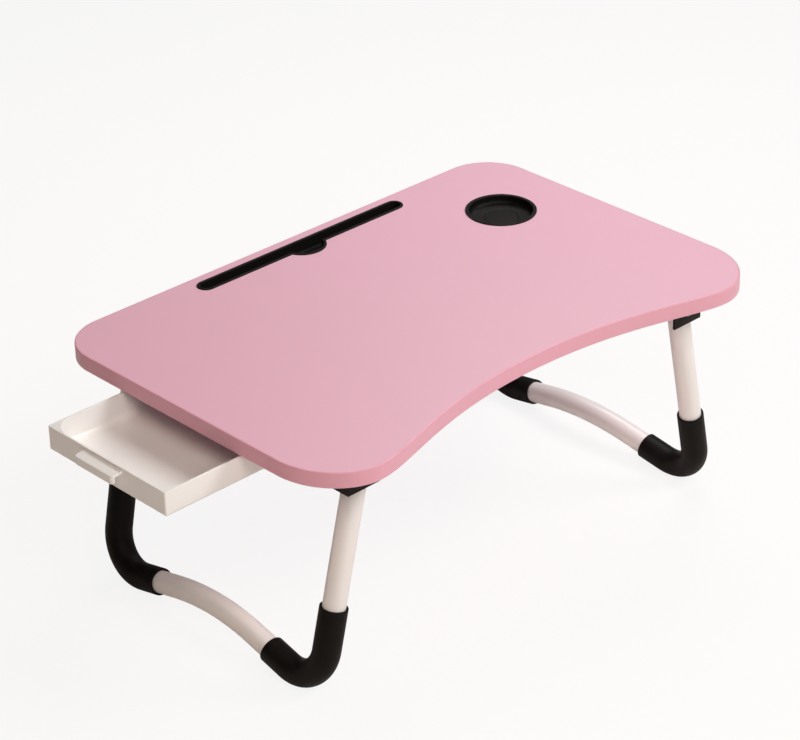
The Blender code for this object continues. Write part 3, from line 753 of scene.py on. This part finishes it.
def makePull():
    # a ledge with a lip that turns down along its front and round its corners
    s = pullShape
    middle = drawerMiddle + s["offset"]
    half = s["width"] / 2
    top = rimZ - s["drop"]
    low = top - s["height"]
    section = roundedLine([(0, low), (0, top), (s["topMargin"], top)], (s["edgeRound"],),
                          s["roundSteps"])
    rings = []
    for inwards, z in section:
        reach = s["depth"] - inwards
        corner = s["cornerRadius"] - inwards
        outline = roundedRectangle((drawerFront - reach, middle - half + inwards),
                                   (drawerFront + reach, middle + half - inwards), corner,
                                   s["cornerSteps"])
        slope = s["slope"] if z > low else 0
        rings.append([(x, y, z - slope * (drawerFront - x) / s["depth"]) for x, y in outline])
    ledge = skinRings("fingerPull", rings)
    ceiling = top - s["wall"] - s["slope"]
    hollow = roundedRectangle((drawerFront - s["depth"] + s["wall"], middle - half + s["wall"]),
                              (drawerFront + s["depth"], middle + half - s["wall"]),
                              s["cornerRadius"] - s["wall"], s["cornerSteps"])
    combine(ledge, skinRings("pullHollow", [atHeight(hollow, low - s["wall"]),
                                            atHeight(hollow, ceiling)]), "DIFFERENCE")
    # the ledge's ends are open below
    opening = block("pullEnds", (drawerFront - s["depth"] + s["cornerRadius"],
                                 middle - 2 * half, low - s["wall"]),
                    (drawerFront + 2 * s["depth"], middle + 2 * half, ceiling))
    combine(ledge, opening, "DIFFERENCE")
    trim = block("pullTrim", (drawerFront + drawerShape["overlap"], middle - 2 * half,
                              low - s["height"]),
                 (drawerFront + 2 * s["depth"], middle + 2 * half, top + s["height"]))
    combine(ledge, trim, "DIFFERENCE")
    return ledge


def makeRail(end, way):
    s = railShape
    d = drawerShape
    name = "drawer_rail_" + end
    low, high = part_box(name)
    inner = drawerHalfWidth + s["sideGap"]
    channel = inner + d["runnerWidth"]
    web = channel + s["thickness"]
    flange = web + s["flange"]
    top = high.z
    plateLow = top - s["thickness"]
    lipLow = low.z
    lipTop = lipLow + s["thickness"]
    section = [(inner, top), (flange, top), (flange, plateLow), (web, plateLow), (web, lipLow),
               (inner, lipLow), (inner, lipTop), (channel, lipTop), (channel, plateLow),
               (inner, plateLow)]
    rail = skinRings(f"{end}DrawerRail", [[(x, drawerMiddle + way * y, z) for y, z in section]
                                          for x in (low.x, high.x)])
    near, far = sorted((drawerMiddle + way * inner, drawerMiddle + way * (web - d["overlap"])))
    for start in (low.x + s["endLip"], high.x - s["endLip"] - s["stop"]):
        combine(rail, block("stop", (start, near, lipLow + d["overlap"]),
                            (start + s["stop"], far, top - d["overlap"])), "UNION")
    softenEdges(rail, s["edgeRound"])
    dress(rail, "desktop", "white_plastic", drawerWhite, name)


makeDrawer()
makeRail("front", -1)
makeRail("rear", 1)
print("drawer and rails made")


# Screws: pan heads with a cross recess, heads downwards

screwShape = {"shankRadius": 0.0016, "headRadius": 0.0032, "headHeight": 0.0016,
              "tip": 0.0022, "crownShare": 0.62, "sideShare": 0.45, "crownRound": 0.0012,
              "sideRound": 0.0005, "headRound": 0.0001, "neckRound": 0.0002,
              "tipRound": 0.0004, "recessReach": 0.0019, "recessWidth": 0.0009,
              "recessDepth": 0.0010, "turnStep": 0.7, "segments": 40, "roundSteps": 6}


def makeScrewMesh(length):
    s = screwShape
    head = -s["headHeight"]
    profile = roundedLine([(0, head), (s["headRadius"] * s["crownShare"], head),
                           (s["headRadius"], head * s["sideShare"]), (s["headRadius"], 0),
                           (s["shankRadius"], 0), (s["shankRadius"], length - s["tip"]),
                           (0, length)],
                          (s["crownRound"], s["sideRound"], s["headRound"], s["neckRound"],
                           s["tipRound"]), s["roundSteps"])
    screw = lathe("panScrew", profile, s["segments"])
    reach = s["recessReach"]
    half = s["recessWidth"] / 2
    deep = head + s["recessDepth"]
    cross = block("recess", (-reach, -half, 2 * head), (reach, half, deep))
    across = block("recessAcross", (-half, -reach, 2 * head), (half, reach, deep))
    combine(cross, across, "UNION")
    combine(screw, cross, "DIFFERENCE")
    mesh = screw.data
    bpy.data.objects.remove(screw, do_unlink=True)
    return mesh


def makeScrews():
    names = sorted(n for n in frame["nodes"] if "_screw_" in n)
    low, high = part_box(names[0])
    length = high.z - low.z - screwShape["headHeight"]
    mesh = makeScrewMesh(length)               # all of them are one size
    for index, name in enumerate(names):
        low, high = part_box(name)
        words = name.split("_")
        screw = newPiece(words[0] + "Screw" + words[-1], mesh)
        screw.location = ((low.x + high.x) / 2, (low.y + high.y) / 2, high.z - length)
        screw.rotation_euler.z = index * screwShape["turnStep"]    # no two point alike
        dress(screw, "desktop", "zinc_steel", screwZinc, name)


makeScrews()
print("screws made")


# Floor, light and camera

stageLook = {"floorColour": (0.90, 0.86, 0.82), "roughness": 0.9, "specular": 0.1,
             "floorReach": 9.0, "whiteShare": 0.86}


def makeStage():
    s = stageLook
    low = cadBounds[0].z
    reach = s["floorReach"]
    sheet = bpy.data.meshes.new("studioFloor")
    sheet.from_pydata([(-reach, -reach, low), (reach, -reach, low),
                       (reach, reach, low), (-reach, reach, low)], [], [(0, 1, 2, 3)])
    floor = newPiece("studioFloor", sheet)
    material = bpy.data.materials.new("studioFloor")
    material.use_nodes = True
    nodes = material.node_tree.nodes
    links = material.node_tree.links
    shader = nodes["Principled BSDF"]
    shader.inputs["Base Color"].default_value = (*s["floorColour"], 1)
    shader.inputs["Roughness"].default_value = s["roughness"]
    shader.inputs["Specular IOR Level"].default_value = s["specular"]
    white = nodes.new("ShaderNodeEmission")
    white.inputs["Color"].default_value = (1, 1, 1, 1)
    seen = nodes.new("ShaderNodeLightPath").outputs["Is Camera Ray"]
    share = nodes.new("ShaderNodeMath")
    share.operation = "MULTIPLY"
    share.inputs[1].default_value = s["whiteShare"]
    mix = nodes.new("ShaderNodeMixShader")
    links.new(seen, share.inputs[0])
    links.new(share.outputs["Value"], mix.inputs["Fac"])
    links.new(shader.outputs["BSDF"], mix.inputs[1])
    links.new(white.outputs["Emission"], mix.inputs[2])
    # seen from below, the floor is clear
    clear = nodes.new("ShaderNodeBsdfTransparent")
    below = nodes.new("ShaderNodeNewGeometry").outputs["Backfacing"]
    sided = nodes.new("ShaderNodeMixShader")
    links.new(below, sided.inputs["Fac"])
    links.new(mix.outputs["Shader"], sided.inputs[1])
    links.new(clear.outputs["BSDF"], sided.inputs[2])
    links.new(sided.outputs["Shader"], nodes["Material Output"].inputs["Surface"])
    floor.data.materials.append(material)


skyLook = {"ambient": (1.0, 0.84, 0.72), "ambientStrength": 0.08}


def makeSky():
    world = bpy.data.worlds.new("studioSky")
    bpy.context.scene.world = world
    world.use_nodes = True
    nodes = world.node_tree.nodes
    links = world.node_tree.links
    soft = nodes["Background"]
    soft.inputs["Color"].default_value = (*skyLook["ambient"], 1)
    soft.inputs["Strength"].default_value = skyLook["ambientStrength"]
    white = nodes.new("ShaderNodeBackground")
    white.inputs["Color"].default_value = (1, 1, 1, 1)
    path = nodes.new("ShaderNodeLightPath")
    either = nodes.new("ShaderNodeMath")
    either.operation = "MAXIMUM"
    links.new(path.outputs["Is Camera Ray"], either.inputs[0])
    links.new(path.outputs["Is Transmission Ray"], either.inputs[1])
    mix = nodes.new("ShaderNodeMixShader")
    links.new(either.outputs["Value"], mix.inputs["Fac"])
    links.new(soft.outputs["Background"], mix.inputs[1])
    links.new(white.outputs["Background"], mix.inputs[2])
    links.new(mix.outputs["Shader"], nodes["World Output"].inputs["Surface"])


lampAim = Vector((0, 0, -0.08))
lamps = {"keyLamp": {"at": (1.9, -2.3, 2.5), "power": 73, "width": 1.6,
                     "colour": (1, 1, 1)},
         "frontLamp": {"at": (-0.9, -1.9, 1.7), "power": 25, "width": 1.6,
                       "colour": (1, 0.99, 0.97)},
         "leftLamp": {"at": (-1.6, -1.5, 2.5), "power": 20, "width": 1.6,
                      "colour": (1, 0.66, 0.46)},
         "rearLamp": {"at": (0.9, 0.5, 1.2), "power": 11, "width": 1.0,
                      "colour": (1, 1, 1)}}


def makeLamps():
    for name, look in lamps.items():
        lamp = bpy.data.lights.new(name, "AREA")
        lamp.shape = "DISK"
        lamp.size = look["width"]
        lamp.energy = look["power"]
        lamp.color = look["colour"]
        holder = newPiece(name, lamp)
        holder.location = look["at"]
        aim = lampAim - Vector(look["at"])
        holder.rotation_mode = "QUATERNION"
        holder.rotation_quaternion = aim.to_track_quat("-Z", "Y")


cameraPlace = {"at": (-1.65559, -1.73767, 1.25763), "azimuth": math.radians(-43.889),
               "elevation": math.radians(29.041), "roll": math.radians(-0.815),
               "focalPixels": 2731.8, "centrePixel": (430.1, 368.6),
               "picturePixels": (800, 740), "sensorWidth": 36, "clip": (0.05, 60)}


def makeCamera():
    s = cameraPlace
    azimuth, elevation = s["azimuth"], s["elevation"]
    back = Vector((math.sin(azimuth) * math.cos(elevation),
                   -math.cos(azimuth) * math.cos(elevation), math.sin(elevation)))
    right = (-back).cross(Vector((0, 0, 1))).normalized()
    up = right.cross(-back)
    tiltedRight = right * math.cos(s["roll"]) + up * math.sin(s["roll"])
    tiltedUp = up * math.cos(s["roll"]) - right * math.sin(s["roll"])
    data = bpy.data.cameras.new("photoCamera")
    width, height = s["picturePixels"]
    data.sensor_width = s["sensorWidth"]
    data.lens = s["focalPixels"] / width * data.sensor_width
    data.shift_x = (width / 2 - s["centrePixel"][0]) / width
    data.shift_y = (s["centrePixel"][1] - height / 2) / width
    data.clip_start, data.clip_end = s["clip"]
    camera = newPiece("photoCamera", data)
    axes = Matrix((tiltedRight, tiltedUp, back)).transposed()
    camera.rotation_mode = "QUATERNION"
    camera.rotation_quaternion = axes.to_quaternion()
    camera.location = s["at"]
    bpy.context.scene.camera = camera


makeStage()
makeSky()
makeLamps()
makeCamera()
bpy.context.scene.view_settings.view_transform = "Standard"
print("stage, light and camera set")
